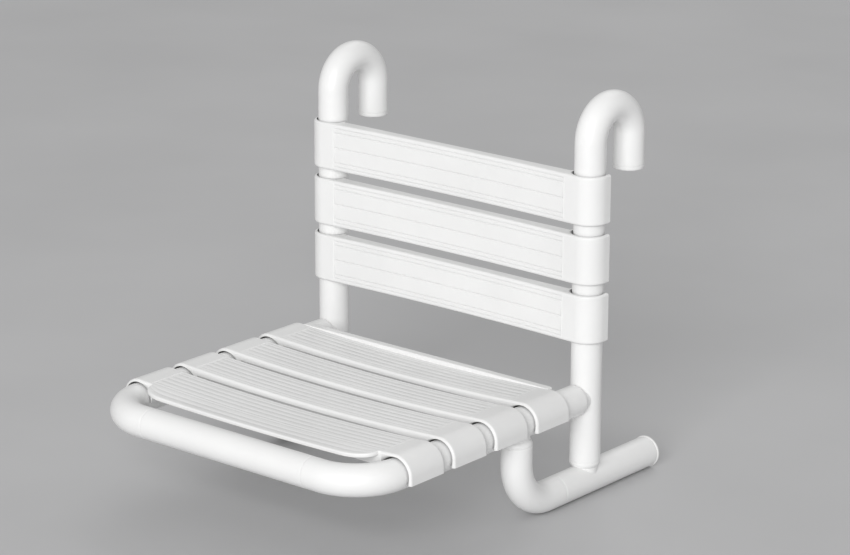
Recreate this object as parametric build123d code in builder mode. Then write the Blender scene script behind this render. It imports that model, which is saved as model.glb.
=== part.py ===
from build123d import *
from math import atan, cos, sin, sqrt
import os

# Hook-in shower seat: two hooked uprights, a tubular seat loop, two wall brackets and seven slats.
# Millimetres. The origin is on the axis of the rail that the hooks hang on, midway between them.
# X runs along the rail, Y back to the wall and Z up, so the sitter faces -Y.

# Tube system: a nylon tube over a steel core
tube_radius = 17.0
tube_wall = 3.5
core_wall = 2.0
core_gap = 0.1
seam_bevel = 0.6

# Hooks over the rail
rail_radius = 17.0
rail_side_gap = 0.2
saddle_clearance = 0.45
hook_drop = 40.0
cap_thickness = 5.0
cap_edge = 2.0
plug_length = 14.0
plug_gap = 0.1

# Frame
frame_width = 361.0
seat_drop = 281.0
seat_reach = 368.5
corner_radius = 54.0
corner_leg = 14.0
bracket_drop = 94.5
drop_offset = 120.0
elbow_radius = 50.0
elbow_leg = 18.0
wall_reach = 115.0

# Joints where one tube stands on another
stud_radius = 10.0
stud_gap = 0.1
stud_plug = 8.0
saddle_gap = 0.1
collar_stand = 6.0
collar_rim = 1.5
neck_taper = 5.5
neck_wall = 4.2
arm_stand = 2.0

# Wall pads
pad_thickness = 3.0
pad_overhang = 0.6
pad_edge = 1.0

# Slat moulding: a dished plate with skirts, and a clip at each end that snaps round a tube
slat_depth = 53.5
clip_gap = 0.35
clip_wall = 4.35
clip_lead = 0.8
outer_leg = 8.0
inner_leg = 1.0
inner_leg_tip = 1.6
gusset = 4.0
plate_dip = 5.0
plate_thickness = 4.3
skirt_height = 11.5
skirt_thickness = 3.0
slat_edge = 2.5
pocket_inset = 32.0
groove_width = 1.6
groove_depth = 0.7
groove_offsets = (-22.0, -17.2, 0.0, 17.2, 22.0)
field_inset = 18.0
field_line = 0.4

# Lip along the front of the front slat, and raised bar along the rear of the rear slat
lip_reach = 21.7
lip_rise = 2.6
lip_corner = 33.0
lip_shoulder = 1.7
lip_edge = 1.5
lip_root = 0.8
bar_depth = 9.0
bar_inset = 5.0
bar_corner = 6.0
bar_edge = 1.2
bar_relief = 0.5

# Slat places
seat_slat_start = 50.0
seat_slat_pitch = 68.8
back_slat_start = 32.0
back_slat_pitch = 65.4

# Places that follow from the sizes above
half_width = frame_width / 2
bore_radius = tube_radius - tube_wall
core_radius = bore_radius - core_gap
core_bore = core_radius - core_wall
hook_radius = rail_radius + rail_side_gap + tube_radius
saddle_radius = rail_radius + saddle_clearance
upright_y = -hook_radius
arm_z = -seat_drop
front_y = upright_y - seat_reach
drop_y = upright_y - drop_offset
wall_z = arm_z - bracket_drop
wall_y = upright_y + wall_reach
collar_height = tube_radius + collar_stand
arm_height = tube_radius + arm_stand
stud_bore = stud_radius + stud_gap
neck_radius = stud_bore + neck_wall
hook_tip = -hook_drop
bend_reach = corner_radius + corner_leg
elbow_end = drop_y + elbow_radius + elbow_leg
sides = {"left": -half_width, "right": half_width}
touch = 0.01  # two places nearer than this count as one

os.makedirs("parts", exist_ok=True)


def save(block, label):
    """Name the finished piece and write it to its own file."""
    block.part.label = label
    export_step(block.part, f"parts/{label}.step")


def ring_along(route, outer, inner):
    """A tube swept along a route, square to it at its start."""
    with BuildPart() as tube:
        with BuildSketch(Plane(origin=route @ 0, z_dir=route % 0)):
            Circle(outer)
            Circle(inner, mode=Mode.SUBTRACT)
        sweep(path=route)
    return tube.part


def seam_edges(part):
    """The outer rims at a nylon tube's two ends, bevelled so that each joint shows as a fine line."""
    rounds = part.edges().filter_by(GeomType.CIRCLE).filter_by(lambda rim: rim.is_closed)
    return rounds.filter_by(lambda rim: abs(rim.radius - tube_radius) < touch)


def joint_plane(x, y, z, along, main):
    """The plane of a joint: its normal runs out along the branch and its X along the main tube."""
    return Plane(origin=(x, y, z), x_dir=main, z_dir=along)


# Routes of the tubes' centre lines

def upright_route(x, foot, tip):
    """Up the upright, over the rail in a half turn and down to the tip of the hook."""
    with BuildLine() as route:
        Line((x, upright_y, foot), (x, upright_y, 0))
        ThreePointArc((x, upright_y, 0), (x, 0, hook_radius), (x, hook_radius, 0))
        Line((x, hook_radius, 0), (x, hook_radius, tip))
    return route.line


def bracket_route(x, top, end):
    """Down from the arm, round the elbow and back to the wall."""
    with BuildLine() as route:
        FilletPolyline((x, drop_y, top), (x, drop_y, wall_z), (x, end, wall_z), radius=elbow_radius)
    return route.line


def corner_route(x, rear, inner_x):
    """Forward along the arm and round the front corner to the front bar."""
    with BuildLine() as route:
        FilletPolyline((x, rear, arm_z), (x, front_y, arm_z), (inner_x, front_y, arm_z), radius=corner_radius)
    return route.line


def straight_route(start, end):
    """A straight tube."""
    with BuildLine() as route:
        Line(start, end)
    return route.line


# Joints of the steel cores

def stud(place, height):
    """Closed end of a branch core with the stud that reaches the main core through both nylon walls."""
    with BuildPart() as end:
        with BuildSketch(place.offset(height)):
            Circle(core_radius)
        extrude(amount=stud_plug)
        with BuildSketch(place):
            Circle(stud_radius)
        extrude(amount=height)
        with BuildSketch(Plane(origin=place.origin, z_dir=place.x_dir)):
            Circle(core_radius + saddle_gap)
        extrude(amount=2 * tube_radius, both=True, mode=Mode.SUBTRACT)
    return end.part


def stud_hole(place):
    """The hole in a main nylon tube that a stud passes through."""
    with BuildPart() as hole:
        with BuildSketch(place):
            Circle(stud_bore)
        extrude(amount=tube_radius + stud_radius)
    return hole.part


def saddle_cut(place):
    """The main tube's outside, cut from whatever is seated on it."""
    with BuildPart() as main:
        with BuildSketch(Plane(origin=place.origin, z_dir=place.x_dir)):
            Circle(tube_radius + saddle_gap)
        extrude(amount=2 * tube_radius, both=True)
    return main.part


def turned_collar(place):
    """Nylon collar of a branch: full tube width at the seam, drawn in to a neck on the main tube."""
    shoulder = collar_height - collar_rim
    with BuildPart() as collar:
        with BuildSketch(Plane(origin=place.origin, x_dir=place.x_dir, z_dir=-place.y_dir)):
            with BuildLine():
                Line((stud_bore, 0), (stud_bore, collar_height))
                Line((stud_bore, collar_height), (tube_radius - seam_bevel, collar_height))
                Line((tube_radius - seam_bevel, collar_height), (tube_radius, collar_height - seam_bevel))
                Line((tube_radius, collar_height - seam_bevel), (tube_radius, shoulder))
                TangentArc((tube_radius, shoulder), (neck_radius, shoulder - neck_taper), tangent=(0, -1))
                Line((neck_radius, shoulder - neck_taper), (neck_radius, 0))
                Line((neck_radius, 0), (stud_bore, 0))
            make_face()
        revolve(axis=Axis(place.origin, place.z_dir))
        add(saddle_cut(place), mode=Mode.SUBTRACT)
    return collar.part


def neck_ring(place):
    """Plain nylon ring between the square end of an arm and the upright."""
    with BuildPart() as ring:
        with BuildSketch(place):
            Circle(neck_radius)
            Circle(stud_bore, mode=Mode.SUBTRACT)
        extrude(amount=arm_height)
        add(saddle_cut(place), mode=Mode.SUBTRACT)
    return ring.part


def end_cap(place, radius, thickness, edge):
    """Cap on the end of a tube, with a plug that fits the steel core."""
    with BuildPart() as cap:
        with BuildSketch(place):
            Circle(radius)
        extrude(amount=thickness)
        fillet(cap.edges().group_by(Axis(place.origin, place.z_dir))[-1], radius=edge)
        with BuildSketch(place):
            Circle(core_bore - plug_gap)
        extrude(amount=-plug_length)
    return cap.part


# Steel seat loop: two arms and the front bar in one bend
with BuildPart() as seat_loop_core:
    arm_end = upright_y - arm_height
    with BuildLine() as loop_route:
        FilletPolyline(
            (-half_width, arm_end, arm_z),
            (-half_width, front_y, arm_z),
            (half_width, front_y, arm_z),
            (half_width, arm_end, arm_z),
            radius=corner_radius,
        )
    add(ring_along(loop_route.line, core_radius, core_bore))
    for x in sides.values():
        add(stud(joint_plane(x, upright_y, arm_z, (0, -1, 0), (0, 0, 1)), arm_height))
save(seat_loop_core, "seat_loop_core")

with BuildPart() as front_bar:
    bar_end = half_width - bend_reach
    bar_route = straight_route((-bar_end, front_y, arm_z), (bar_end, front_y, arm_z))
    add(ring_along(bar_route, tube_radius, bore_radius))
    chamfer(seam_edges(front_bar), seam_bevel)
save(front_bar, "front_bar")

for side, x in sides.items():
    inner = 1 if x < 0 else -1
    foot_joint = joint_plane(x, upright_y, wall_z, (0, 0, 1), (0, 1, 0))
    arm_joint = joint_plane(x, upright_y, arm_z, (0, -1, 0), (0, 0, 1))
    drop_joint = joint_plane(x, drop_y, arm_z, (0, 0, -1), (0, 1, 0))
    foot_z = wall_z + collar_height
    drop_top = arm_z - collar_height
    tail_end = hook_tip + cap_thickness
    wall_end = wall_y - pad_thickness

    # Hooked upright: one bent nylon tube, with a narrow land in the bend that sits on the rail
    with BuildPart() as upright_tube:
        add(ring_along(upright_route(x, foot_z, tail_end), tube_radius, bore_radius))
        chamfer(seam_edges(upright_tube), seam_bevel)
        with BuildSketch(Plane.YZ.offset(x)):
            Circle(saddle_radius)
        extrude(amount=tube_radius, both=True, mode=Mode.SUBTRACT)
        add(stud_hole(arm_joint), mode=Mode.SUBTRACT)
    save(upright_tube, f"{side}_upright_tube")

    with BuildPart() as upright_core:
        add(ring_along(upright_route(x, foot_z, tail_end), core_radius, core_bore))
        add(stud(foot_joint, collar_height))
    save(upright_core, f"{side}_upright_core")

    with BuildPart() as hook_cap:
        tail_place = Plane(origin=(x, hook_radius, tail_end), z_dir=(0, 0, -1))
        add(end_cap(tail_place, tube_radius, cap_thickness, cap_edge))
    save(hook_cap, f"{side}_hook_cap")

    with BuildPart() as foot_collar:
        add(turned_collar(foot_joint))
    save(foot_collar, f"{side}_foot_collar")

    # Seat arm, its neck on the upright and its front corner
    with BuildPart() as arm_tube:
        arm_start = (x, upright_y - arm_height, arm_z)
        arm_seam = (x, front_y + bend_reach, arm_z)
        add(ring_along(straight_route(arm_start, arm_seam), tube_radius, bore_radius))
        chamfer(seam_edges(arm_tube), seam_bevel)
        add(stud_hole(drop_joint), mode=Mode.SUBTRACT)
    save(arm_tube, f"{side}_arm_tube")

    with BuildPart() as arm_neck:
        add(neck_ring(arm_joint))
    save(arm_neck, f"{side}_arm_neck")

    with BuildPart() as corner_bend:
        bend_route = corner_route(x, front_y + bend_reach, x + inner * bend_reach)
        add(ring_along(bend_route, tube_radius, bore_radius))
        chamfer(seam_edges(corner_bend), seam_bevel)
    save(corner_bend, f"{side}_corner_bend")

    # Wall bracket: collar under the arm, drop bend and wall tube, over one bent steel core
    with BuildPart() as drop_collar:
        add(turned_collar(drop_joint))
    save(drop_collar, f"{side}_drop_collar")

    with BuildPart() as drop_bend:
        add(ring_along(bracket_route(x, drop_top, elbow_end), tube_radius, bore_radius))
        chamfer(seam_edges(drop_bend), seam_bevel)
    save(drop_bend, f"{side}_drop_bend")

    with BuildPart() as wall_tube:
        wall_route = straight_route((x, elbow_end, wall_z), (x, wall_end, wall_z))
        add(ring_along(wall_route, tube_radius, bore_radius))
        chamfer(seam_edges(wall_tube), seam_bevel)
        add(stud_hole(foot_joint), mode=Mode.SUBTRACT)
    save(wall_tube, f"{side}_wall_tube")

    with BuildPart() as bracket_core:
        add(ring_along(bracket_route(x, drop_top, wall_end), core_radius, core_bore))
        add(stud(drop_joint, collar_height))
    save(bracket_core, f"{side}_bracket_core")

    with BuildPart() as wall_pad:
        pad_place = Plane(origin=(x, wall_end, wall_z), z_dir=(0, 1, 0))
        add(end_cap(pad_place, tube_radius + pad_overhang, pad_thickness, pad_edge))
    save(wall_pad, f"{side}_wall_pad")


# Slat moulding, in a frame of its own: X along the slat from its middle, Y out of the sitting side
# from the tubes' axes, and Z across the slat from its rear or top edge.
clip_bore = tube_radius + clip_gap
clip_radius = clip_bore + clip_wall
plate_top = clip_radius - plate_dip
plate_bottom = plate_top - skirt_height
crest_turn = 2 * atan(plate_dip / half_width)
crest = (half_width - clip_radius * sin(crest_turn), clip_radius * cos(crest_turn))
dish_radius = crest[0] / sin(crest_turn)
clip_start = half_width - clip_bore - gusset
bar_half = half_width - bar_inset


def dish(x, drop=0.0):
    """A point of the dished top, or of a curve that lies a little below it."""
    return (x, plate_top + dish_radius - sqrt(dish_radius**2 - x**2) - drop)


def dish_strip(half, drop, height):
    """Section between a curve below the dished top and a straight line, symmetric about the middle."""
    with BuildSketch() as strip:
        with BuildLine():
            ThreePointArc(dish(-half, drop), dish(0, drop), dish(half, drop))
            Polyline(dish(half, drop), (half, height), (-half, height), dish(-half, drop))
        make_face()
    return strip.sketch


def slat_clip(rear_edge):
    """The clip at the right-hand end, from the gusset outwards, with its rims rounded."""
    side_x = half_width + clip_radius
    outer_foot = (half_width + sqrt(clip_bore**2 - outer_leg**2), -outer_leg)
    inner_foot = (half_width - sqrt(clip_bore**2 - inner_leg**2), -inner_leg)
    with BuildPart() as clip:
        with BuildSketch():
            with BuildLine():
                ThreePointArc(dish(clip_start), dish((clip_start + crest[0]) / 2), crest)
                ThreePointArc(crest, (half_width + clip_radius * sin(crest_turn), crest[1]), (side_x, 0))
                Polyline((side_x, 0), (side_x, -outer_leg), outer_foot)
                ThreePointArc(outer_foot, (half_width, clip_bore), inner_foot)
                Polyline(
                    inner_foot,
                    (inner_foot[0] - inner_leg_tip, -inner_leg),
                    (clip_start, plate_bottom),
                    dish(clip_start),
                )
            make_face()
        extrude(amount=slat_depth)
        rims = clip.edges().filter_by(is_rim).group_by(Axis.Z)
        for rim, radius in ((rims[0], rear_edge), (rims[-1], slat_edge)):
            if radius:
                fillet(rim, radius=radius)
    return clip.part


def is_rim(edge):
    """True for the edges that run round the outside of a clip, from the plate over the arch to the leg."""
    middle = edge @ 0.5
    off_axis = sqrt((middle.X - half_width) ** 2 + middle.Y**2)
    on_crown = middle.X > clip_start + touch and middle.Y > plate_bottom and off_axis > clip_bore + touch
    on_leg = middle.X > half_width + clip_radius - touch
    return abs((edge % 0.5).Z) < touch and (on_crown or on_leg)


def is_mouth(edge):
    """True for the edges at the ends of the clips' bores."""
    return edge.geom_type == GeomType.CIRCLE and abs(edge.radius - clip_bore) < touch


def long_edges(block):
    """The top edges along a slat, from the rear one to the front one."""
    return block.edges().filter_by(GeomType.CIRCLE).sort_by(Axis.Z)


def moulding(front_lip=False, rear_bar=False):
    """A whole slat, with plain rounded long edges and a lead-in to its bores, except where a lip or a bar
    carries on."""
    with BuildPart() as slat:
        add(dish_strip(clip_start, 0, plate_bottom))
        extrude(amount=slat_depth)
        if not rear_bar:
            fillet(long_edges(slat)[0], radius=slat_edge)
        fillet(long_edges(slat)[-1], radius=lip_root if front_lip else slat_edge)
        if front_lip:
            add(front_lip_plate())
        if rear_bar:
            add(rear_bar_strip())
        clip = slat_clip(rear_edge=0 if rear_bar else slat_edge)
        add(clip)
        add(clip.mirror(Plane.YZ))
        with BuildSketch(Plane.XY.offset(skirt_thickness)):
            add(dish_strip(half_width - pocket_inset, plate_thickness, plate_bottom))
        extrude(amount=slat_depth - 2 * skirt_thickness, mode=Mode.SUBTRACT)
        field_half = half_width - field_inset
        for groove in groove_offsets:
            with BuildSketch(Plane.XY.offset(slat_depth / 2 + groove - groove_width / 2)):
                add(dish_strip(field_half, groove_depth, clip_radius))
            extrude(amount=groove_width, mode=Mode.SUBTRACT)
        with BuildSketch(Plane.XY):
            with Locations((-field_half, dish(field_half)[1]), (field_half, dish(field_half)[1])):
                Rectangle(groove_width, 2 * field_line)
        extrude(amount=slat_depth, mode=Mode.SUBTRACT)
        mouths = slat.edges().filter_by(is_mouth).group_by(Axis.Z)
        chamfer(mouths[-1] if rear_bar else mouths[0] + mouths[-1], clip_lead)
    return slat.part


def front_lip_plate():
    """Thin plate that overhangs the front of the front slat, flatter than the slat, with swept corners."""
    low = plate_top - plate_thickness
    end_top = plate_top + lip_rise
    end_low = low + lip_rise
    with BuildPart() as lip:
        with BuildSketch(Plane.XY.offset(slat_depth)):
            with BuildLine():
                ThreePointArc((-clip_start, end_top), (0, plate_top), (clip_start, end_top))
                Line((clip_start, end_top), (clip_start, end_low))
                ThreePointArc((clip_start, end_low), (0, low), (-clip_start, end_low))
                Line((-clip_start, end_low), (-clip_start, end_top))
            make_face()
        extrude(amount=lip_reach)
        with BuildSketch(Plane.XZ.offset(-clip_radius)):
            with BuildLine():
                shoulder = slat_depth + lip_shoulder
                nose = slat_depth + lip_reach
                flat = clip_start - lip_corner
                sweep_depth = lip_reach - lip_shoulder
                Line((-flat, nose), (flat, nose))
                EllipticalCenterArc((flat, shoulder), lip_corner, sweep_depth, start_angle=0, arc_size=90)
                Polyline((clip_start, shoulder), (clip_start, 0), (-clip_start, 0), (-clip_start, shoulder))
                EllipticalCenterArc((-flat, shoulder), lip_corner, sweep_depth, start_angle=90, arc_size=90)
            make_face()
        extrude(amount=2 * clip_radius, mode=Mode.INTERSECT)
        broad = lip.faces().sort_by(SortBy.AREA)[-2:]
        fillet(broad.edges().filter_by(lambda edge: (edge @ 0.5).Z > slat_depth), radius=lip_edge)
    return lip.part


def rear_bar_strip():
    """Level bar along the rear of the rear slat, relieved over the arms at its ends."""
    with BuildPart() as bar:
        with BuildSketch(Plane.XZ.offset(-clip_radius)):
            with Locations((0, -bar_depth / 2)):
                Rectangle(2 * bar_half, bar_depth)
        extrude(amount=plate_dip + plate_thickness)
        fillet(bar.edges().filter_by(Axis.Y).group_by(Axis.Z)[0], radius=bar_corner)
        top = bar.faces().sort_by(Axis.Y)[-1]
        fillet(top.edges().filter_by(lambda edge: (edge @ 0.5).Z < 0), radius=bar_edge)
        with BuildSketch(Plane.XY):
            with Locations((-half_width, 0), (half_width, 0)):
                Circle(clip_bore + bar_relief)
        extrude(amount=-bar_depth, mode=Mode.SUBTRACT)
    return bar.part


plain_slat = moulding()
seat_slats = {
    "front_seat_slat": moulding(front_lip=True),
    "second_seat_slat": plain_slat,
    "third_seat_slat": plain_slat,
    "rear_seat_slat": moulding(rear_bar=True),
}
for place, (label, blank) in enumerate(seat_slats.items()):
    rear_y = front_y + seat_slat_start + place * seat_slat_pitch + slat_depth
    slat_place = Plane(origin=(0, rear_y, arm_z), x_dir=(1, 0, 0), z_dir=(0, -1, 0))
    with BuildPart() as seat_slat:
        add(slat_place.from_local_coords(blank))
    save(seat_slat, label)

for place, label in enumerate(("top_back_slat", "middle_back_slat", "bottom_back_slat")):
    top_z = -back_slat_start - place * back_slat_pitch
    slat_place = Plane(origin=(0, upright_y, top_z), x_dir=(1, 0, 0), z_dir=(0, 0, -1))
    with BuildPart() as back_slat:
        add(slat_place.from_local_coords(plain_slat))
    save(back_slat, label)
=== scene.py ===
import math

import bmesh
import bpy
from mathutils import Matrix, Vector


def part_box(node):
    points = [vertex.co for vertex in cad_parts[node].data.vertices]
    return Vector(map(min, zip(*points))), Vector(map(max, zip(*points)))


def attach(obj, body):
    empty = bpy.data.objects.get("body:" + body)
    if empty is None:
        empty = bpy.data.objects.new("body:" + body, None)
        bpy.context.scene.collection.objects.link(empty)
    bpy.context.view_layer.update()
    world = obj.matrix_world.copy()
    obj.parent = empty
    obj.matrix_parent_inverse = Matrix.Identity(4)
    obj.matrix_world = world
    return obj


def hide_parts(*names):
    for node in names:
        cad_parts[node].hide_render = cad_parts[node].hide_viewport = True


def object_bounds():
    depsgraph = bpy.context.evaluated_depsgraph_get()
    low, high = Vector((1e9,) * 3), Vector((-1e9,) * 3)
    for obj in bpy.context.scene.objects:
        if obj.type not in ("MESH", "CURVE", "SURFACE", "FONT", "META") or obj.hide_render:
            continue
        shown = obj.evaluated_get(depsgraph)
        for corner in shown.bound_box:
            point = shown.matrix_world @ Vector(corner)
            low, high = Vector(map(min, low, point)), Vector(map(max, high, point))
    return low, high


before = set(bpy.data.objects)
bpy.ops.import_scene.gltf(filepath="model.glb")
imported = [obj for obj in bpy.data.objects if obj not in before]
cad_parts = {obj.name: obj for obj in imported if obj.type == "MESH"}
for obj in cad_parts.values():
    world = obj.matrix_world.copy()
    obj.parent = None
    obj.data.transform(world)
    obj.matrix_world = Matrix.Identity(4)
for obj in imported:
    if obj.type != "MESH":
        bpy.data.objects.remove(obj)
cad_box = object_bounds()

# Hook-in shower seat in white nylon. Metres, in the frame of the solids: X along the rail, Y back to the
# wall, Z up. Places come from the solids' boxes, and the sizes below are those that no box can give.
mm = 0.001


# Corners and middle of a solid's box

def low(node):
    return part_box(node)[0]


def high(node):
    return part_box(node)[1]


def middle(node):
    return (low(node) + high(node)) / 2


# Tubes
tube_wall = 3.5 * mm
seam_bevel = 0.6 * mm
seam_brace = 2 * mm
seam_angle = math.radians(60)
corner_radius = 54 * mm
elbow_radius = 50 * mm
rail_land = 17.45 * mm
cap_thickness = 5 * mm
tube_sides = 96
bend_steps = 40

tube_radius = (high("front_bar").z - low("front_bar").z) / 2
half_width = middle("right_arm_tube").x
upright_y = middle("right_foot_collar").y
hook_radius = -upright_y
arm_z = middle("right_arm_tube").z
arm_rear = high("right_arm_tube").y
arm_front = low("right_arm_tube").y
front_y = middle("front_bar").y
bar_end = high("front_bar").x
drop_y = middle("right_drop_collar").y
drop_top = high("right_drop_bend").z
elbow_end = high("right_drop_bend").y
wall_z = middle("right_wall_tube").z
wall_end = high("right_wall_tube").y
foot_z = low("right_upright_tube").z
hook_tip = low("right_hook_cap").z
tail_end = hook_tip + cap_thickness

# Turned pieces
stud_bore = 10.1 * mm
neck_radius = 14.3 * mm
neck_taper = 5.5 * mm
collar_rim = 1.5 * mm
saddle_radius = tube_radius + 0.1 * mm
collar_height = foot_z - wall_z
arm_height = upright_y - arm_rear
plug_radius = 11.3 * mm
plug_length = 14 * mm
cap_edge = 2 * mm
pad_edge = 1 * mm
pad_radius = (high("right_wall_pad").z - low("right_wall_pad").z) / 2
wall_y = high("right_wall_pad").y

# Slats, in a frame of their own: X along the slat, Y out of the sitting side from the tubes' axes,
# and Z across the slat from its rear or top edge
slat_depth = high("top_back_slat").z - low("top_back_slat").z
clip_bore = tube_radius + 0.35 * mm
clip_radius = high("top_back_slat").x - half_width
clip_lead = 1.3 * mm
lead_depth = 8 * mm
outer_leg = 8 * mm
inner_leg = 1 * mm
inner_leg_tip = 1.6 * mm
plate_dip = 5 * mm
plate_thickness = 4.3 * mm
skirt_height = 11.5 * mm
skirt_thickness = 3 * mm
slat_edge = 2.5 * mm
edge_steps = 8
pocket_end = half_width - 32 * mm
pocket_draft = 0.3 * mm
pocket_brace = 3 * mm
clip_start = half_width - clip_bore - 4 * mm
gusset_brace = 1 * mm
least_step = 0.05 * mm
field_end = half_width - 18 * mm
groove_width = 2 * mm
groove_depth = 0.8 * mm
field_line = 0.4 * mm
groove_offsets = [offset * mm for offset in (-22, -17.2, 0, 17.2, 22)]
flute_width = 2.4 * mm
flute_depth = 0.35 * mm
flute_offsets = [offset * mm for offset in (-22, -17.2, -8.6, 0, 8.6, 17.2, 22)]
lip_flute_offsets = [offset * mm for offset in (4.3, 12.9)]
lip_reach = 21.7 * mm
lip_rise = 2.6 * mm
lip_corner = 33 * mm
lip_shoulder = 1.7 * mm
lip_edge = 1.5 * mm
lip_heel = 0.8 * mm
lip_root = 0.3 * mm
bar_depth = 9 * mm
bar_half = half_width - 5 * mm
bar_corner = 6 * mm
bar_edge = 1.2 * mm
bar_brace = 5 * mm
bar_relief = clip_bore + 0.5 * mm
rim_brace = 0.6 * mm
plate_top = clip_radius - plate_dip
plate_bottom = plate_top - skirt_height
crest_turn = 2 * math.atan(plate_dip / half_width)
crest_x = half_width - clip_radius * math.sin(crest_turn)
dish_radius = crest_x / math.sin(crest_turn)
overlap = 0.05 * mm

# Painted shade, from 0 on an open face to 1 inside a bore. Rows down a slat's long end face carry that of
# the
# gap to the next slat: each has its share of the way down, and its share of the gap's painted shade.
groove_painted_shade = 0.12
seat_gap_painted_shade = 0.6
gap_rows = ((0.34, 0.0), (0.44, 1.0))

smooth_angle = math.radians(32)


# Small helpers for node trees and meshes

def spread(start, end, steps):
    """Evenly spaced values from start to end."""
    return [start + (end - start) * step / steps for step in range(steps + 1)]


def add_node(tree, kind, inputs=None, **settings):
    """A node with its settings and its plain input values."""
    node = tree.nodes.new(kind)
    for name, value in settings.items():
        setattr(node, name, value)
    for name, value in (inputs or {}).items():
        node.inputs[name].default_value = value
    return node


def make_object(name, mesh):
    piece = bpy.data.objects.new(name, mesh)
    bpy.context.scene.collection.objects.link(piece)
    return piece


def mesh_from(name, points, faces, painted_shade=None):
    """A mesh from points and faces, with every face turned outwards. Where given, a share for each point
    says how far it lies in a crevice, whose shade is painted into the colour."""
    mesh = bpy.data.meshes.new(name)
    mesh.from_pydata([tuple(point) for point in points], [], faces)
    sorter = bmesh.new()
    sorter.from_mesh(mesh)
    bmesh.ops.recalc_face_normals(sorter, faces=sorter.faces)
    sorter.to_mesh(mesh)
    sorter.free()
    if painted_shade:
        mesh.attributes.new("painted_shade", "FLOAT", "POINT").data.foreach_set("value", painted_shade)
    return mesh


def shade(mesh):
    """Smooth, with the real corners kept crisp."""
    mesh.shade_smooth()
    mesh.set_sharp_from_angle(angle=smooth_angle)


def plain_piece(host):
    """Turns an object with live modifiers into one with a plain mesh."""
    bpy.context.view_layer.update()
    made = host.evaluated_get(bpy.context.evaluated_depsgraph_get())
    mesh = bpy.data.meshes.new_from_object(made)
    host.modifiers.clear()
    host.data = mesh
    mesh.name = host.name
    return host


def set_inputs(modifier, values):
    """Sets a tree's named inputs on its modifier."""
    for item in modifier.node_group.interface.items_tree:
        if item.item_type == "SOCKET" and item.in_out == "INPUT" and item.name in values:
            modifier[item.identifier] = values[item.name]


def new_tree(name, inputs):
    """A geometry tree with a geometry input, the named inputs and a geometry output."""
    tree = bpy.data.node_groups.new(name, "GeometryNodeTree")
    tree.interface.new_socket("Geometry", in_out="INPUT", socket_type="NodeSocketGeometry")
    for label, kind in inputs:
        tree.interface.new_socket(label, in_out="INPUT", socket_type=f"NodeSocket{kind}")
    tree.interface.new_socket("Geometry", in_out="OUTPUT", socket_type="NodeSocketGeometry")
    return tree, add_node(tree, "NodeGroupInput"), add_node(tree, "NodeGroupOutput")


def end_tree(tree, entry, leave, geometry):
    """The common end of a tree: plain geometry with one material."""
    realize = add_node(tree, "GeometryNodeRealizeInstances")
    paint = add_node(tree, "GeometryNodeSetMaterial")
    tree.links.new(geometry, realize.inputs["Geometry"])
    tree.links.new(realize.outputs["Geometry"], paint.inputs["Geometry"])
    tree.links.new(entry.outputs["Material"], paint.inputs["Material"])
    tree.links.new(paint.outputs["Geometry"], leave.inputs["Geometry"])


# Finishes. Most of a noise lies between its low and its high value. Crevices get painted shade, a dark grey.
noise_low = 0.3
noise_high = 0.7
painted_shade_colour = (0.12, 0.12, 0.12, 1)


def finish_base(name, roughness):
    """A material with its shader and Object coordinates."""
    material = bpy.data.materials.new(name)
    material.use_nodes = True
    tree = material.node_tree
    shader = tree.nodes["Principled BSDF"]
    shader.inputs["Roughness"].default_value = roughness
    place = add_node(tree, "ShaderNodeTexCoord")
    return material, tree, shader, place.outputs["Object"]


def noise(tree, place, scale, stretch=(1, 1, 1), detail=3.0):
    """Noise on the given coordinates, stretched along the axes with small numbers."""
    mapping = add_node(tree, "ShaderNodeMapping", {"Scale": stretch})
    texture = add_node(tree, "ShaderNodeTexNoise", {"Scale": scale, "Detail": detail})
    tree.links.new(place, mapping.inputs["Vector"])
    tree.links.new(mapping.outputs["Vector"], texture.inputs["Vector"])
    return texture.outputs["Fac"]


def tint(tree, shader, factor, dark, light):
    """Mottles the base colour between two near tones, and returns it."""
    ramp = add_node(tree, "ShaderNodeValToRGB")
    first, last = ramp.color_ramp.elements
    first.position, first.color = noise_low, (*dark, 1)
    last.position, last.color = noise_high, (*light, 1)
    tree.links.new(factor, ramp.inputs["Fac"])
    tree.links.new(ramp.outputs["Color"], shader.inputs["Base Color"])
    return ramp.outputs["Color"]


def paint_crevice_shade(tree, shader, colour, most):
    """Paints shade into the colour where the mesh says that it lies in a crevice."""
    painted_amount = add_node(tree, "ShaderNodeAttribute", attribute_name="painted_shade")
    share = add_node(tree, "ShaderNodeMath", {1: most}, operation="MULTIPLY")
    mix = add_node(tree, "ShaderNodeMixRGB", {"Color2": painted_shade_colour})
    tree.links.new(painted_amount.outputs["Fac"], share.inputs[0])
    tree.links.new(share.outputs["Value"], mix.inputs["Fac"])
    tree.links.new(colour, mix.inputs["Color1"])
    tree.links.new(mix.outputs["Color"], shader.inputs["Base Color"])


def vary_roughness(tree, shader, factor, smooth, rough):
    """Lets the gloss change a little over the surface."""
    gloss = add_node(tree, "ShaderNodeMapRange", {
        "From Min": noise_low, "From Max": noise_high, "To Min": smooth, "To Max": rough,
    })
    tree.links.new(factor, gloss.inputs["Value"])
    tree.links.new(gloss.outputs["Result"], shader.inputs["Roughness"])


def bump(tree, shader, height, strength, distance, below=None):
    """Adds a bump, over another one where given, and returns its normal."""
    node = add_node(tree, "ShaderNodeBump", {"Strength": strength, "Distance": distance})
    tree.links.new(height, node.inputs["Height"])
    if below is not None:
        tree.links.new(below, node.inputs["Normal"])
    tree.links.new(node.outputs["Normal"], shader.inputs["Normal"])
    return node.outputs["Normal"]


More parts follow.
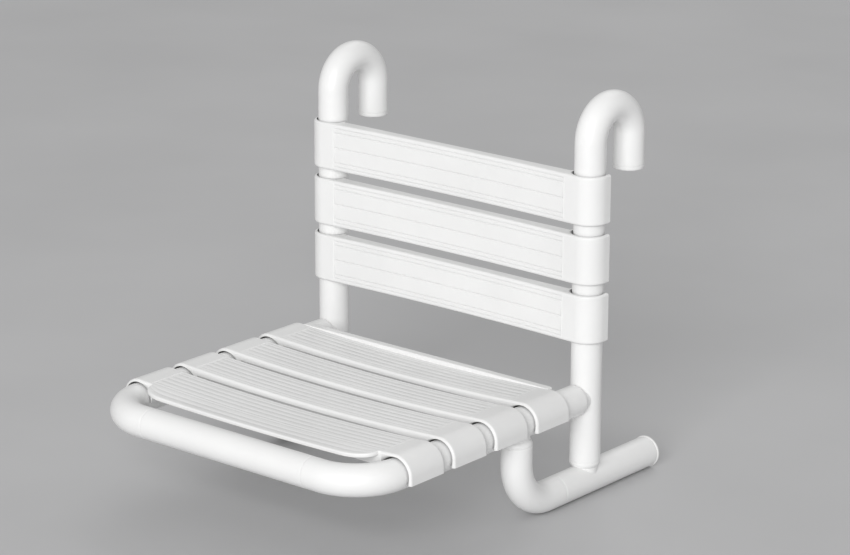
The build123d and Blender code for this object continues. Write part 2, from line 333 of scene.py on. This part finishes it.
def tube_nylon(name, dark, light, smooth, rough):
    """Extruded nylon: smooth and half glossy, with a slight waviness and a very fine grain."""
    material, tree, shader, place = finish_base(name, smooth)
    mottle = noise(tree, place, scale=9)
    smear = noise(tree, place, scale=26, detail=5.0)
    wave = noise(tree, place, scale=70, detail=1.0)
    grain = noise(tree, place, scale=2400)
    tint(tree, shader, mottle, dark, light)
    vary_roughness(tree, shader, smear, smooth, rough)
    wavy = bump(tree, shader, wave, strength=0.05, distance=0.4 * mm)
    bump(tree, shader, grain, strength=0.06, distance=0.05 * mm, below=wavy)
    return material


def slat_nylon():
    """Moulded nylon: satin, with a grain that runs along the slat."""
    material, tree, shader, place = finish_base("slat_nylon", roughness=0.42)
    mottle = noise(tree, place, scale=11)
    smear = noise(tree, place, scale=30, detail=5.0)
    streaks = noise(tree, place, scale=900, stretch=(0.03, 1, 1))
    grain = noise(tree, place, scale=2600)
    colour = tint(tree, shader, mottle, dark=(0.80, 0.80, 0.795), light=(0.84, 0.84, 0.835))
    # Shade painted into the grooves, the bores and the gaps between slats
    paint_crevice_shade(tree, shader, colour, most=0.9)
    vary_roughness(tree, shader, smear, smooth=0.36, rough=0.47)
    streaky = bump(tree, shader, streaks, strength=0.04, distance=0.05 * mm)
    bump(tree, shader, grain, strength=0.06, distance=0.05 * mm, below=streaky)
    return material


def core_steel():
    """Drawn steel tube, with fine streaks."""
    material, tree, shader, place = finish_base("core_steel", roughness=0.35)
    shader.inputs["Metallic"].default_value = 1.0
    mottle = noise(tree, place, scale=40)
    streaks = noise(tree, place, scale=300, stretch=(0.1, 0.1, 1))
    tint(tree, shader, mottle, dark=(0.42, 0.42, 0.43), light=(0.56, 0.56, 0.57))
    vary_roughness(tree, shader, streaks, smooth=0.28, rough=0.45)
    return material


tube_finish = tube_nylon(
    "tube_nylon", dark=(0.82, 0.82, 0.815), light=(0.86, 0.86, 0.855), smooth=0.28, rough=0.36)
cap_finish = tube_nylon(
    "cap_nylon", dark=(0.81, 0.81, 0.805), light=(0.85, 0.85, 0.845), smooth=0.32, rough=0.40)
pad_finish = tube_nylon(
    "pad_nylon", dark=(0.80, 0.80, 0.79), light=(0.84, 0.84, 0.83), smooth=0.45, rough=0.55)
slat_finish = slat_nylon()
steel_finish = core_steel()


def install(piece, slot, *nodes):
    """The piece stands for these solids, and hides them. The slot is not used."""
    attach(piece, "root")
    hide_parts(*nodes)


# Tubes, each along its centre line

def tube_tree():
    """A round tube along a line of corners, bent to a radius where the line's bend_steps say so, and
    relieved where it sits on the rail."""
    inputs = [("Radius", "Float"), ("Bend Radius", "Float"), ("Sides", "Int"), ("Rail Land", "Float"),
              ("Material", "Material")]
    tree, entry, leave = new_tree("bent_tube", inputs)
    line = add_node(tree, "GeometryNodeMeshToCurve")
    steps = add_node(tree, "GeometryNodeInputNamedAttribute", {"Name": "bend_steps"}, data_type="INT")
    bend = add_node(tree, "GeometryNodeFilletCurve", mode="POLY")
    section = add_node(tree, "GeometryNodeCurvePrimitiveCircle", mode="RADIUS")
    skin = add_node(tree, "GeometryNodeCurveToMesh")
    spot = add_node(tree, "GeometryNodeInputPosition")
    off_axis = add_node(tree, "ShaderNodeVectorMath", {1: (0, 1, 1)}, operation="MULTIPLY")
    reach = add_node(tree, "ShaderNodeVectorMath", operation="LENGTH")
    outward = add_node(tree, "ShaderNodeVectorMath", operation="NORMALIZE")
    short = add_node(tree, "ShaderNodeMath", operation="SUBTRACT")
    lift = add_node(tree, "ShaderNodeMath", {1: 0.0}, operation="MAXIMUM")
    push = add_node(tree, "ShaderNodeVectorMath", operation="SCALE")
    land = add_node(tree, "GeometryNodeSetPosition")
    for start, end in (
        (entry.outputs["Geometry"], line.inputs["Mesh"]),
        (line.outputs["Curve"], bend.inputs["Curve"]),
        (entry.outputs["Bend Radius"], bend.inputs["Radius"]),
        (steps.outputs["Attribute"], bend.inputs["Count"]),
        (entry.outputs["Sides"], section.inputs["Resolution"]),
        (entry.outputs["Radius"], section.inputs["Radius"]),
        (bend.outputs["Curve"], skin.inputs["Curve"]),
        (section.outputs["Curve"], skin.inputs["Profile Curve"]),
        (spot.outputs["Position"], off_axis.inputs[0]),
        (off_axis.outputs["Vector"], reach.inputs[0]),
        (off_axis.outputs["Vector"], outward.inputs[0]),
        (entry.outputs["Rail Land"], short.inputs[0]),
        (reach.outputs["Value"], short.inputs[1]),
        (short.outputs["Value"], lift.inputs[0]),
        (outward.outputs["Vector"], push.inputs[0]),
        (lift.outputs["Value"], push.inputs["Scale"]),
        (skin.outputs["Mesh"], land.inputs["Geometry"]),
        (push.outputs["Vector"], land.inputs["Offset"]),
    ):
        tree.links.new(start, end)
    end_tree(tree, entry, leave, land.outputs["Geometry"])
    return tree


bent_tube = tube_tree()


def tube(node, corners, bend_radius=0.0):
    """One nylon tube with its wall, and its ends bevelled so that each joint shows as a fine line. A ring
    near each end keeps the shading even up to the bevel."""
    name = f"{node}_skin"
    line = [Vector(corner) for corner in corners]
    near_start = line[0] + (line[1] - line[0]).normalized() * seam_brace
    near_end = line[-1] + (line[-2] - line[-1]).normalized() * seam_brace
    line = [line[0], near_start, *line[1:-1], near_end, line[-1]]
    mesh = bpy.data.meshes.new(name)
    mesh.from_pydata(line, [(i, i + 1) for i in range(len(line) - 1)], [])
    steps = mesh.attributes.new("bend_steps", "INT", "POINT")
    for i in range(2, len(line) - 2):
        steps.data[i].value = bend_steps
    piece = make_object(name, mesh)
    skin = piece.modifiers.new("skin", "NODES")
    skin.node_group = bent_tube
    set_inputs(skin, {
        "Radius": tube_radius, "Bend Radius": bend_radius, "Sides": tube_sides, "Rail Land": rail_land,
        "Material": tube_finish,
    })
    wall = piece.modifiers.new("wall", "SOLIDIFY")
    wall.thickness = tube_wall
    wall.offset = -1
    seam = piece.modifiers.new("seam", "BEVEL")
    seam.width = seam_bevel
    seam.segments = 2
    seam.limit_method = "ANGLE"
    seam.angle_limit = seam_angle
    plain_piece(piece)
    shade(piece.data)
    install(piece, "tube_nylon", node)


def side_tubes(side):
    """The hooked upright, the arm with its corner bend, and the wall bracket of one side."""
    x = middle(f"{side}_arm_tube").x
    bar_x = math.copysign(bar_end, x)
    tube(f"{side}_upright_tube", [
        (x, upright_y, foot_z), (x, upright_y, hook_radius),
        (x, hook_radius, hook_radius), (x, hook_radius, tail_end),
    ], hook_radius)
    tube(f"{side}_arm_tube", [(x, arm_rear, arm_z), (x, arm_front, arm_z)])
    tube(f"{side}_corner_bend", [
        (x, arm_front, arm_z), (x, front_y, arm_z), (bar_x, front_y, arm_z),
    ], corner_radius)
    tube(f"{side}_drop_bend", [
        (x, drop_y, drop_top), (x, drop_y, wall_z), (x, elbow_end, wall_z),
    ], elbow_radius)
    tube(f"{side}_wall_tube", [(x, elbow_end, wall_z), (x, wall_end, wall_z)])


# Collars, necks and caps, turned about their own axes

def turned(node, profile, centre, along, main, finish, slot):
    """Turns a closed profile of (radius, height) points about an axis. A height of None seats the point on
    the main tube, whose axis runs along main through the centre."""
    name = f"{node}_skin"
    across = along.cross(main)
    points, rings = [], []
    for radius, height in profile:
        count = tube_sides if radius > 0 else 1
        rings.append(range(len(points), len(points) + count))
        for step in range(count):
            turn = 2 * math.pi * step / tube_sides
            aside = radius * math.sin(turn)
            rise = math.sqrt(saddle_radius**2 - aside**2) if height is None else height
            points.append(centre + along * rise + main * (radius * math.cos(turn)) + across * aside)
    faces = []
    closed = len(rings[0]) > 1
    for ring, following in zip(rings, rings[1:] + rings[:1] if closed else rings[1:]):
        for step in range(tube_sides):
            onward = (step + 1) % tube_sides
            corners = [ring[step % len(ring)], ring[onward % len(ring)],
                       following[onward % len(following)], following[step % len(following)]]
            faces.append(tuple(dict.fromkeys(corners)))
    piece = make_object(name, mesh_from(name, points, faces))
    piece.data.materials.append(finish)
    shade(piece.data)
    install(piece, slot, node)


def arc_points(centre, radius, start, end, steps):
    """Points along an arc in a profile, from one angle to another."""
    return [
        (centre[0] + radius * math.cos(turn), centre[1] + radius * math.sin(turn))
        for turn in spread(start, end, steps)
    ]


def collar_profile():
    """Full tube width at the seam, drawn in by a tangent arc to a neck that sits on the main tube."""
    shoulder = collar_height - collar_rim
    draw = tube_radius - neck_radius
    sweep = (draw**2 + neck_taper**2) / (2 * draw)
    turn = math.asin(neck_taper / sweep)
    waist = arc_points((tube_radius - sweep, shoulder), sweep, 0, -turn, steps=12)
    return [
        (stud_bore, None), (neck_radius, None), *reversed(waist),
        (tube_radius, collar_height - seam_bevel), (tube_radius - seam_bevel, collar_height),
        (stud_bore, collar_height),
    ]


def cap_profile(radius, thickness, edge):
    """A disc with a rounded edge and the plug that holds it in the core."""
    rim = arc_points((radius - edge, thickness - edge), edge, 0, math.pi / 2, steps=8)
    return [
        (0, -plug_length), (plug_radius, -plug_length), (plug_radius, 0), (radius - seam_bevel, 0),
        (radius, seam_bevel), *rim, (0, thickness),
    ]


def side_turnings(side):
    """The collars, the arm's neck, the hook's cap and the wall pad of one side."""
    x = middle(f"{side}_arm_tube").x
    up, back = Vector((0, 0, 1)), Vector((0, 1, 0))
    neck = [(stud_bore, None), (neck_radius, None), (neck_radius, arm_height), (stud_bore, arm_height)]
    turned(f"{side}_foot_collar", collar_profile(), Vector((x, upright_y, wall_z)), up, back,
           tube_finish, "tube_nylon")
    turned(f"{side}_drop_collar", collar_profile(), Vector((x, drop_y, arm_z)), -up, back,
           tube_finish, "tube_nylon")
    turned(f"{side}_arm_neck", neck, Vector((x, upright_y, arm_z)), -back, up, tube_finish, "tube_nylon")
    turned(f"{side}_hook_cap", cap_profile(tube_radius, cap_thickness, cap_edge),
           Vector((x, hook_radius, tail_end)), -up, back, cap_finish, "cap_nylon")
    turned(f"{side}_wall_pad", cap_profile(pad_radius, wall_y - wall_end, pad_edge),
           Vector((x, wall_end, wall_z)), back, up, pad_finish, "pad_nylon")


# Slats

def dish(x):
    """Height of the dished top over the tubes' axes."""
    return plate_top + dish_radius - math.sqrt(dish_radius**2 - x**2)


def gusset_foot(x, foot_x):
    """Underside of a slat between its plate and the inner foot of a clip."""
    if x <= clip_start:
        return plate_bottom
    tip_x = foot_x - inner_leg_tip
    return plate_bottom - (plate_bottom + inner_leg) * min(1, (x - clip_start) / (tip_x - clip_start))


def half_outline():
    """The right half of a slat from its middle to the outer foot of its clip. Each place has its top point,
    the outward normal there, the point below, the point below in the pocket, and the way out of the bore."""
    foot_x = half_width - math.sqrt(clip_bore**2 - inner_leg**2)
    crest = math.pi / 2 + crest_turn
    bore_xs = [half_width + clip_bore * math.cos(turn) for turn in spread(math.pi, crest, steps=20)]
    xs = [
        *spread(0, pocket_end, steps=30), pocket_end + pocket_draft,
        *spread(pocket_end + pocket_brace, clip_start, steps=4), clip_start + gusset_brace,
        foot_x - inner_leg_tip, foot_x, *[x for x in bore_xs if x > foot_x + least_step],
        field_end - groove_width / 2, field_end, field_end + groove_width / 2,
    ]
    places = []
    for x in sorted(set(xs)):
        normal = (-x / dish_radius, math.sqrt(1 - (x / dish_radius) ** 2))
        if x < foot_x:
            below, way = (x, gusset_foot(x, foot_x)), (0, 0)
        else:
            below = (x, -inner_leg if x == foot_x else math.sqrt(clip_bore**2 - (x - half_width) ** 2))
            way = ((x - half_width) / clip_bore, max(0, below[1] / clip_bore))
        hollow = (x, dish(x) - plate_thickness) if x <= pocket_end else below
        places.append(((x, dish(x)), normal, below, hollow, way))
    for turn in spread(crest, 0, steps=28)[1:]:
        way = (math.cos(turn), math.sin(turn))
        below = (half_width + clip_bore * way[0], clip_bore * way[1])
        places.append(((half_width + clip_radius * way[0], clip_radius * way[1]), way, below, below, way))
    for y in spread(0, -outer_leg, steps=4)[1:]:
        below = (half_width + math.sqrt(clip_bore**2 - y**2), y)
        places.append(((half_width + clip_radius, y), (1, 0), below, below, (1, 0)))
    return places


def whole_outline():
    """The half and its mirror image, from the left foot to the right one."""
    half = half_outline()
    mirrored = [tuple((-x, y) for x, y in place) for place in reversed(half[1:])]
    return mirrored + half


def dent(across, width, depth):
    """A groove's rows across the slat: place, and how deep the surface lies there. Its shape is a V with a
    narrow floor, in shares of its width and depth."""
    shape = ((-0.5, 0), (-0.08, 1), (0.08, 1), (0.5, 0))
    return [(across + share * width, fall * depth) for share, fall in shape]


def field_rows(lines):
    """Rows across a slat between its rounded edges: place, depth of a groove, and whether the pocket lies
    below."""
    rows = []
    for offset, width, depth in lines:
        rows += dent(slat_depth / 2 + offset, width, depth)
    front_wall = slat_depth - skirt_thickness
    walls = [(skirt_thickness, 0, False), (skirt_thickness + pocket_draft, 0, True),
             (front_wall - pocket_draft, 0, True), (front_wall, 0, False)]
    return sorted([(z, depth, True) for z, depth in rows] + walls)


def edge_rows():
    """Rows round a long edge, from its end face inwards: how far in and how far down the top lies there, and
    how far in the underside lies, all as shares of the edge's radius."""
    turns = spread(0, math.pi / 2, edge_steps)
    return [(1 - math.cos(turn), 1 - math.sin(turn), step / edge_steps) for step, turn in enumerate(turns)]


def slat_section(outline, top_place, under_place, fall, pocket=False, rear_bar=False, groove=False):
    """One row of points round a slat, and the painted shade at each. The top lies top_place from the rear
    edge and is lowered by fall, two functions of the place on the outline. Towards its open ends the bore
    widens, to lead the tube in."""
    from_end = slat_depth - under_place if rear_bar else min(under_place, slat_depth - under_place)
    lead = clip_lead * max(0, 1 - from_end / lead_depth)
    points, painted_shade = [], []
    for (x, y), normal, *_ in outline:
        points.append((x - normal[0] * fall(x, y), y - normal[1] * fall(x, y), top_place(x)))
        painted_shade.append(groove_painted_shade if groove and fall(x, y) > field_line else 0.0)
    for _, _, below, hollow, way in reversed(outline):
        x, y = hollow if pocket else below
        points.append((x + way[0] * lead, y + way[1] * lead, under_place))
        painted_shade.append(1.0 if any(way) else 0.0)
    return points, painted_shade


def filled(first, between, last):
    """Faces from one row of points to another, with rows between that stop a point short of both ends."""
    rows = [first[1:-1], *between, last[1:-1]]
    faces = [(first[end], *[row[end] for row in rows], last[end]) for end in (0, -1)]
    for row, following in zip(rows, rows[1:]):
        for step in range(len(row) - 1):
            faces.append((row[step], row[step + 1], following[step + 1], following[step]))
    return faces


def slat_mesh(name, lines, front_lip=False, rear_bar=False, gap_painted_shade=0.0):
    """A whole slat as one closed skin over its outline, row by row from the rear edge to the front one, with
    its grooves as (offset, width, depth) lines. The front edge is nearly square where a lip carries on, and
    the rear one quite square where a bar does. Shade is painted into the narrow gap to the next slat."""
    outline = whole_outline()
    sections = []

    def front_radius(x):
        return lip_root if front_lip and abs(x) <= clip_start else slat_edge

    def groove_fall(depth):
        def fall(x, y):
            if y > 0 and abs(x) < field_end - groove_width / 2:
                return depth
            if y > 0 and abs(abs(x) - field_end) < groove_width / 4:
                return field_line
            return 0
        return fall

    if rear_bar:
        sections.append(slat_section(outline, lambda x: 0, 0, lambda x, y: 0, rear_bar=True))
    else:
        for inward, drop, under in edge_rows():
            sections.append(slat_section(
                outline, lambda x: slat_edge * inward, slat_edge * under, lambda x, y: slat_edge * drop))
    for z, depth, pocket in field_rows(lines):
        sections.append(slat_section(
            outline, lambda x: z, z, groove_fall(depth), pocket=pocket, rear_bar=rear_bar, groove=True))
    for inward, drop, under in reversed(edge_rows()):
        sections.append(slat_section(
            outline, lambda x: slat_depth - front_radius(x) * inward, slat_depth - slat_edge * under,
            lambda x, y: front_radius(x) * drop))

    loop, count = len(sections[0][0]), len(outline)
    faces = []
    for row in range(len(sections) - 1):
        for step in range(loop):
            a, b = row * loop + step, row * loop + (step + 1) % loop
            faces.append((a, b, b + loop, a + loop))
    points = [Vector(point) for section, _ in sections for point in section]
    painted_shade = [share for _, shares in sections for share in shares]
    # The long end faces, with rows for the painted shade where nothing carries on from them
    for first, open_gap in ((0, not rear_bar), ((len(sections) - 1) * loop, not front_lip)):
        upper = range(first, first + count)
        lower = range(first + loop - 1, first + loop - 1 - count, -1)
        rows = []
        for share, tone in gap_rows if open_gap else ():
            rows.append(range(len(points), len(points) + count - 2))
            for top, under in zip(upper[1:-1], lower[1:-1]):
                points.append(points[top].lerp(points[under], share))
                painted_shade.append(tone * gap_painted_shade if abs(points[top].x) <= clip_start else 0.0)
        faces += filled(upper, rows, lower)
    return mesh_from(name, points, faces, painted_shade)


def rimmed_plate(name, rim, root, profile, top, bottom=None, lines=()):
    """A closed plate in the slats' frame. Its rim runs as (x, z, outward x, outward z) points from one end
    of its root to the other, and its profile as (inset, drop from the top) pairs. The top's height is a
    function of x and z. A drop of None is the bottom, whose height is a function of x. Lines on the top, as
    (distance from the root, fall) rows, run alongside the root and die out where the plate narrows."""
    count = len(rim)
    points, rings = [], []
    for inset, drop in profile:
        ring = []
        for x, z, out_x, out_z in rim:
            x, z = x - out_x * inset, z - out_z * inset
            ring.append(len(points))
            points.append((x, bottom(x) if drop is None else top(x, z) - drop, z))
        rings.append(ring)
    faces = []
    for ring, following in zip(rings, rings[1:]):
        faces += [(ring[i], ring[i + 1], following[i + 1], following[i]) for i in range(count - 1)]
    roots = []
    # The top and the underside, each from the root to its innermost ring
    for ring, (_, drop) in zip((rings[0], rings[-1]), (profile[0], profile[-1])):
        line = [ring[0]]
        for corner in ring[2:-2]:
            x = points[corner][0]
            line.append(len(points))
            points.append((x, bottom(x) if drop is None else top(x, root) - drop, root))
        line.append(ring[-1])
        inner = ring[1:-1]
        rows = []
        reach = max(points[corner][2] for corner in inner) - root
        for across, fall in lines if ring is rings[0] else ():
            rows.append(range(len(points), len(points) + len(line) - 2))
            for start, end in zip(line[1:-1], inner[1:-1]):
                length = (points[end][2] - points[start][2]) / reach
                x, y, z = Vector(points[start]).lerp(Vector(points[end]), across / reach)
                points.append((x, y - fall * length**2, z))
        faces += filled(line, rows, inner)
        roots.append(line)
    upper, lower = roots
    faces += [(upper[i], upper[i + 1], lower[i + 1], lower[i]) for i in range(len(upper) - 1)]
    faces += [tuple(ring[end] for ring in rings) for end in (0, -1)]
    return mesh_from(name, points, faces, [0.0] * len(points))


def rounding(edge, steps):
    """Profile of a rounded top edge, with a ring further in that keeps the flat part's shading even."""
    profile = [(edge + rim_brace, 0)]
    for turn in spread(0, math.pi / 2, steps):
        profile.append((edge * (1 - math.sin(turn)), edge * (1 - math.cos(turn))))
    return profile


def swept_corner(centre, reach, depth, start, end, steps):
    """Rim points round an elliptical corner, from one angle in degrees to another."""
    points = []
    for turn in spread(math.radians(start), math.radians(end), steps):
        out = Vector((math.cos(turn) / reach, math.sin(turn) / depth)).normalized()
        points.append((centre[0] + reach * math.cos(turn), centre[1] + depth * math.sin(turn), *out))
    return points


def lip_top(x, z):
    """Height of the lip: level with the dished slat at its root, and flatter towards its front edge."""
    bow = (clip_start**2 + lip_rise**2) / (2 * lip_rise)
    edge = plate_top + bow - math.sqrt(bow**2 - x**2)
    return dish(x) + (edge - dish(x)) * (z - slat_depth) / lip_reach


def lip_mesh():
    """The thin plate along the front of the front slat."""
    root = slat_depth - overlap
    shoulder = slat_depth + lip_shoulder
    depth = lip_reach - lip_shoulder
    flat = clip_start - lip_corner
    front = [(x, slat_depth + lip_reach, 0, 1) for x in spread(-flat, flat, steps=40)[1:-1]]
    left_corner = swept_corner((-flat, shoulder), lip_corner, depth, start=180, end=90, steps=24)
    right_corner = swept_corner((flat, shoulder), lip_corner, depth, start=90, end=0, steps=24)
    rim = [(-clip_start, root, -1, 0), *left_corner, *front, *right_corner, (clip_start, root, 1, 0)]
    heel = [(inset, plate_thickness - drop) for inset, drop in reversed(rounding(lip_heel, steps=4))]
    profile = rounding(lip_edge, steps=6) + heel
    lines = [row for offset in lip_flute_offsets for row in dent(offset, flute_width, flute_depth)]
    return rimmed_plate("lip", rim, root, profile, lip_top, lines=lines)


def bar_mesh():
    """The raised bar along the rear of the rear slat, level on top and relieved over the arms."""
    base = plate_top - plate_thickness
    flat = bar_half - bar_corner
    turn_z = bar_corner - bar_depth

    def bottom(x):
        aside = abs(abs(x) - half_width)
        return max(base, math.sqrt(bar_relief**2 - aside**2)) if aside < bar_relief else base

    relief_x = half_width - math.sqrt(bar_relief**2 - base**2)
    xs = [-relief_x, *spread(-flat + bar_brace, flat - bar_brace, steps=40), relief_x]
    rear = [(x, -bar_depth, 0, -1) for x in xs]
    left_corner = swept_corner((-flat, turn_z), bar_corner, bar_corner, start=180, end=270, steps=16)
    right_corner = swept_corner((flat, turn_z), bar_corner, bar_corner, start=270, end=360, steps=16)
    rim = [(-bar_half, overlap, -1, 0), *left_corner, *rear, *right_corner, (bar_half, overlap, 1, 0)]
    profile = [*rounding(bar_edge, steps=6), (0, None), (bar_edge, None)]
    return rimmed_plate("bar", rim, overlap, profile, lambda x, z: clip_radius, bottom)


def joined(mesh, extra, seam):
    """One closed skin from a slat and the lip or bar that carries on from it at the seam. The union doesn't
    carry the painted shade over to the second mesh, so it is cleared from there."""
    piece, addition = make_object(mesh.name, mesh), make_object(extra.name, extra)
    union = piece.modifiers.new("join", "BOOLEAN")
    union.operation = "UNION"
    union.solver = "EXACT"
    union.object = addition
    whole = plain_piece(piece).data
    bpy.data.objects.remove(addition)
    bpy.data.objects.remove(piece)
    painted_shade = whole.attributes["painted_shade"].data
    for vertex in whole.vertices:
        x, _, z = vertex.co
        beyond = z < -overlap or z > slat_depth + overlap
        if beyond or (abs(z - seam) < 2 * overlap and abs(x) <= clip_start):
            painted_shade[vertex.index].value = 0
    return whole


def placed(mesh, origin, up, across):
    """Moves a slat from its own frame to its place on the tubes."""
    place = Matrix((Vector((1, 0, 0)), up, across)).transposed().to_4x4()
    place.translation = origin
    mesh.transform(place)
    return mesh


def row_tree():
    """A row of equal slats, a pitch apart."""
    inputs = [("Count", "Int"), ("Pitch", "Vector"), ("Material", "Material")]
    tree, entry, leave = new_tree("slat_row", inputs)
    line = add_node(tree, "GeometryNodeMeshLine", mode="OFFSET")
    copies = add_node(tree, "GeometryNodeInstanceOnPoints")
    tree.links.new(entry.outputs["Count"], line.inputs["Count"])
    tree.links.new(entry.outputs["Pitch"], line.inputs["Offset"])
    tree.links.new(line.outputs["Mesh"], copies.inputs["Points"])
    tree.links.new(entry.outputs["Geometry"], copies.inputs["Instance"])
    end_tree(tree, entry, leave, copies.outputs["Instances"])
    return tree


slat_row = row_tree()


def slats(name, mesh, nodes):
    """Slats that follow each other from the first node's place to the last one's."""
    piece = make_object(name, mesh)
    row = piece.modifiers.new("row", "NODES")
    row.node_group = slat_row
    pitch = middle(nodes[1]) - middle(nodes[0]) if len(nodes) > 1 else Vector()
    set_inputs(row, {"Count": len(nodes), "Pitch": pitch, "Material": slat_finish})
    plain_piece(piece)
    shade(piece.data)
    install(piece, "slat_nylon", *nodes)


def seat_place(mesh, rear_y):
    """Lays a slat on the arms, with its rear edge at rear_y."""
    return placed(mesh, Vector((0, rear_y, arm_z)), Vector((0, 0, 1)), Vector((0, -1, 0)))


def back_row():
    """The three back slats, with crisp grooves."""
    grooves = [(offset, groove_width, groove_depth) for offset in groove_offsets]
    back = placed(slat_mesh("back_slats", grooves), Vector((0, upright_y, high("top_back_slat").z)),
                  Vector((0, -1, 0)), Vector((0, 0, -1)))
    slats("back_slats", back, ("top_back_slat", "middle_back_slat", "bottom_back_slat"))


def seat_row():
    """The four seat slats, with shallow flutes: two alike, the front one with its lip, the rear one with its
    bar."""
    flutes = [(offset, flute_width, flute_depth) for offset in flute_offsets]
    plate = slat_mesh("seat_slats", flutes, gap_painted_shade=seat_gap_painted_shade)
    middle_pair = ("second_seat_slat", "third_seat_slat")
    slats("seat_slats", seat_place(plate, high(middle_pair[0]).y), middle_pair)
    plate = slat_mesh("front_seat_slat_skin", flutes, front_lip=True, gap_painted_shade=seat_gap_painted_shade)
    front = joined(plate, lip_mesh(), seam=slat_depth)
    slats("front_seat_slat_skin", seat_place(front, high("front_seat_slat").y), ("front_seat_slat",))
    plate = slat_mesh("rear_seat_slat_skin", flutes, rear_bar=True, gap_painted_shade=seat_gap_painted_shade)
    rear = joined(plate, bar_mesh(), seam=0)
    rear_y = high("rear_seat_slat").y - bar_depth
    slats("rear_seat_slat_skin", seat_place(rear, rear_y), ("rear_seat_slat",))


for side in ("left", "right"):
    side_tubes(side)
    side_turnings(side)
tube("front_bar", [(-bar_end, front_y, arm_z), (bar_end, front_y, arm_z)])
back_row()
seat_row()

# The cores keep their own shape, and get a steel finish
for name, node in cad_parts.items():
    if name.endswith("_core"):
        node.data.materials.clear()
        node.data.materials.append(steel_finish)


# Floor, light and camera
seat_centre = (cad_box[0] + cad_box[1]) / 2


def view_back(azimuth, elevation):
    """The direction from the seat to a viewer. Azimuth 0 stands in front, 90 at the side with positive X."""
    turn, rise = math.radians(azimuth), math.radians(elevation)
    return Vector((math.sin(turn) * math.cos(rise), -math.cos(turn) * math.cos(rise), math.sin(rise)))


def studio_floor(reach):
    """A plain floor under the wall brackets."""
    material, tree, shader, place = finish_base("studio_floor", roughness=0.7)
    tint(tree, shader, noise(tree, place, scale=3), dark=(0.52, 0.52, 0.525), light=(0.55, 0.55, 0.555))
    z = cad_box[0].z
    corners = [(-reach, -reach, z), (reach, -reach, z), (reach, reach, z), (-reach, reach, z)]
    floor = make_object("floor", mesh_from("floor", corners, [(0, 1, 2, 3)]))
    floor.data.materials.append(material)


def soft_box(name, azimuth, elevation, distance, size, power):
    """An area light that looks at the seat."""
    lamp = bpy.data.lights.new(name, "AREA")
    lamp.shape = "SQUARE"
    lamp.size = size
    lamp.energy = power
    way = view_back(azimuth, elevation)
    light = bpy.data.objects.new(name, lamp)
    light.location = seat_centre + way * distance
    light.rotation_euler = way.to_track_quat("Z", "Y").to_euler()
    bpy.context.scene.collection.objects.link(light)


def studio_world(strength):
    """Even white light from all round."""
    world = bpy.data.worlds.new("studio")
    world.use_nodes = True
    sky = world.node_tree.nodes["Background"]
    sky.inputs["Color"].default_value = (1, 1, 1, 1)
    sky.inputs["Strength"].default_value = strength
    bpy.context.scene.world = world


def photo_camera():
    """A long lens in front of the seat and to one side, a little above it."""
    view_azimuth = 39.76
    view_elevation = 16.94
    view_roll = 0.22
    distance = 3.435
    focal_pixels = 3197
    picture_width = 850
    aside = 0.0454
    above = 0.0249
    aim = Vector((0, -0.16, -0.18))
    back = view_back(view_azimuth, view_elevation)
    right = Vector((0, 0, 1)).cross(back).normalized()
    up = back.cross(right)
    lens = bpy.data.cameras.new("photo_camera")
    lens.sensor_width = 36
    lens.lens = focal_pixels / picture_width * lens.sensor_width
    camera = bpy.data.objects.new("photo_camera", lens)
    turn = Matrix((right, up, back)).transposed() @ Matrix.Rotation(math.radians(view_roll), 3, "Z")
    place = aim + back * distance + right * aside + up * above
    camera.matrix_world = Matrix.Translation(place) @ turn.to_4x4()
    bpy.context.scene.collection.objects.link(camera)
    bpy.context.scene.camera = camera


studio_floor(reach=12)
studio_world(strength=0.47)
soft_box("key", azimuth=27, elevation=20, distance=8.0, size=4.3, power=490)
soft_box("rear", azimuth=200, elevation=45, distance=6.4, size=4.0, power=50)
photo_camera()
bpy.context.scene.view_settings.view_transform = "Standard"
